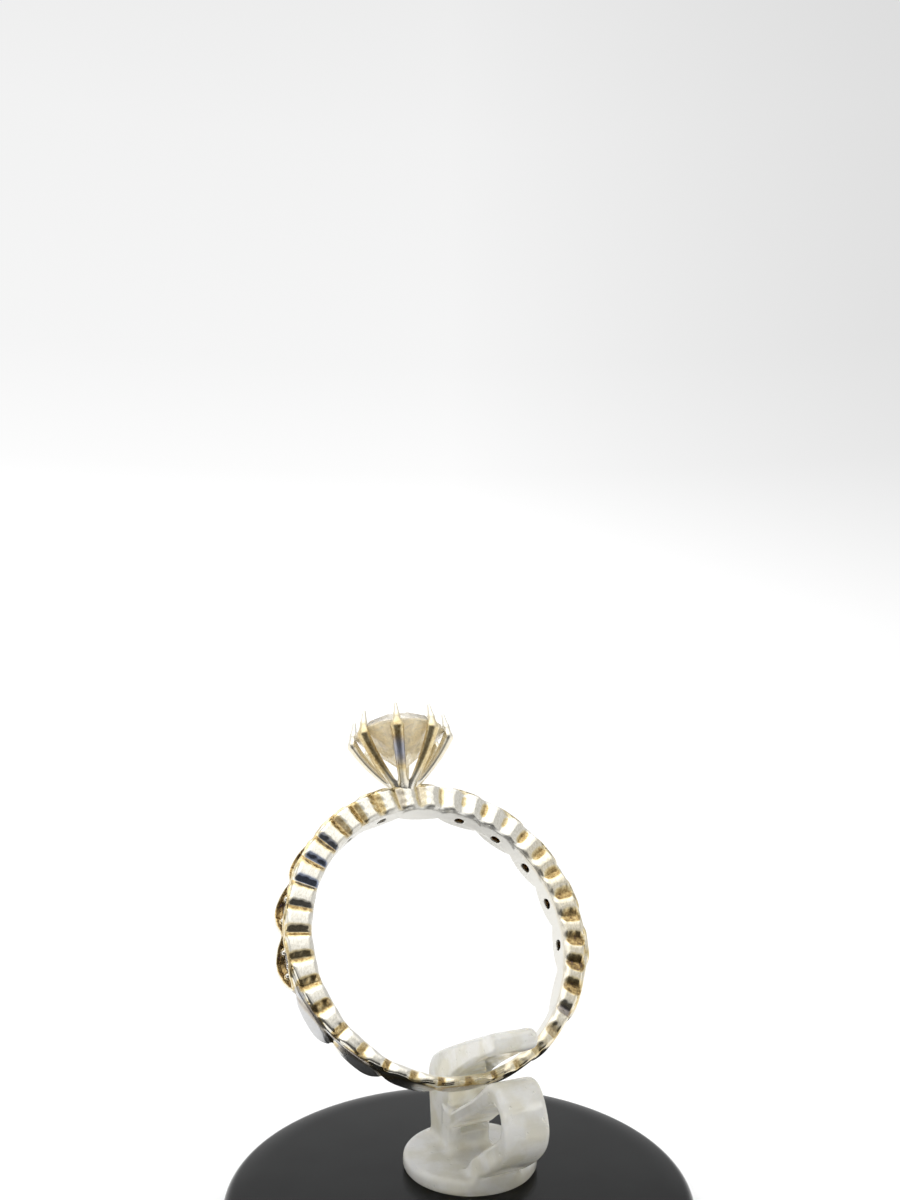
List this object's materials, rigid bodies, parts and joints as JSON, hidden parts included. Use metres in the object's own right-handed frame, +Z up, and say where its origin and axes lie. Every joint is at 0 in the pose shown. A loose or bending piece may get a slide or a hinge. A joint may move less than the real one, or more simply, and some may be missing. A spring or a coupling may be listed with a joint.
{
  "type": "cubic zirconia solitaire ring on a clip stand",
  "caption": "Solitaire ring with a prong-set round stone and a band of marquise links set with small stones, held leaning back in a clear clip on a round base.",
  "frame": {"origin": "centre of the round base's flat underside, on the surface that it stands on", "axes": "+Z up through the base; -Y is the side the picture was taken from; the ring's near side is turned 23.8 degrees from -Y towards +X and it leans back by 32.3 degrees"},
  "size_m": [0.0278, 0.0278, 0.0314],
  "materials": {
    "silver": "polished sterling silver with straw, brown and violet tarnish in the grooves",
    "clear_stone": "faceted clear cubic zirconia",
    "frosted_clip": "milky translucent moulded plastic",
    "black_base": "gloss black"
  },
  "bodies": {
    "root": {"silver_ring": "silver", "centre_stone": "clear_stone", "accent_stone_l1": "clear_stone", "accent_stone_l2": "clear_stone", "accent_stone_l3": "clear_stone", "accent_stone_l4": "clear_stone", "accent_stone_l5": "clear_stone", "accent_stone_r1": "clear_stone", "accent_stone_r2": "clear_stone", "accent_stone_r3": "clear_stone", "accent_stone_r4": "clear_stone", "accent_stone_r5": "clear_stone", "ring_clip": "frosted_clip", "base_disc": "black_base"}
  },
  "joints": []
}
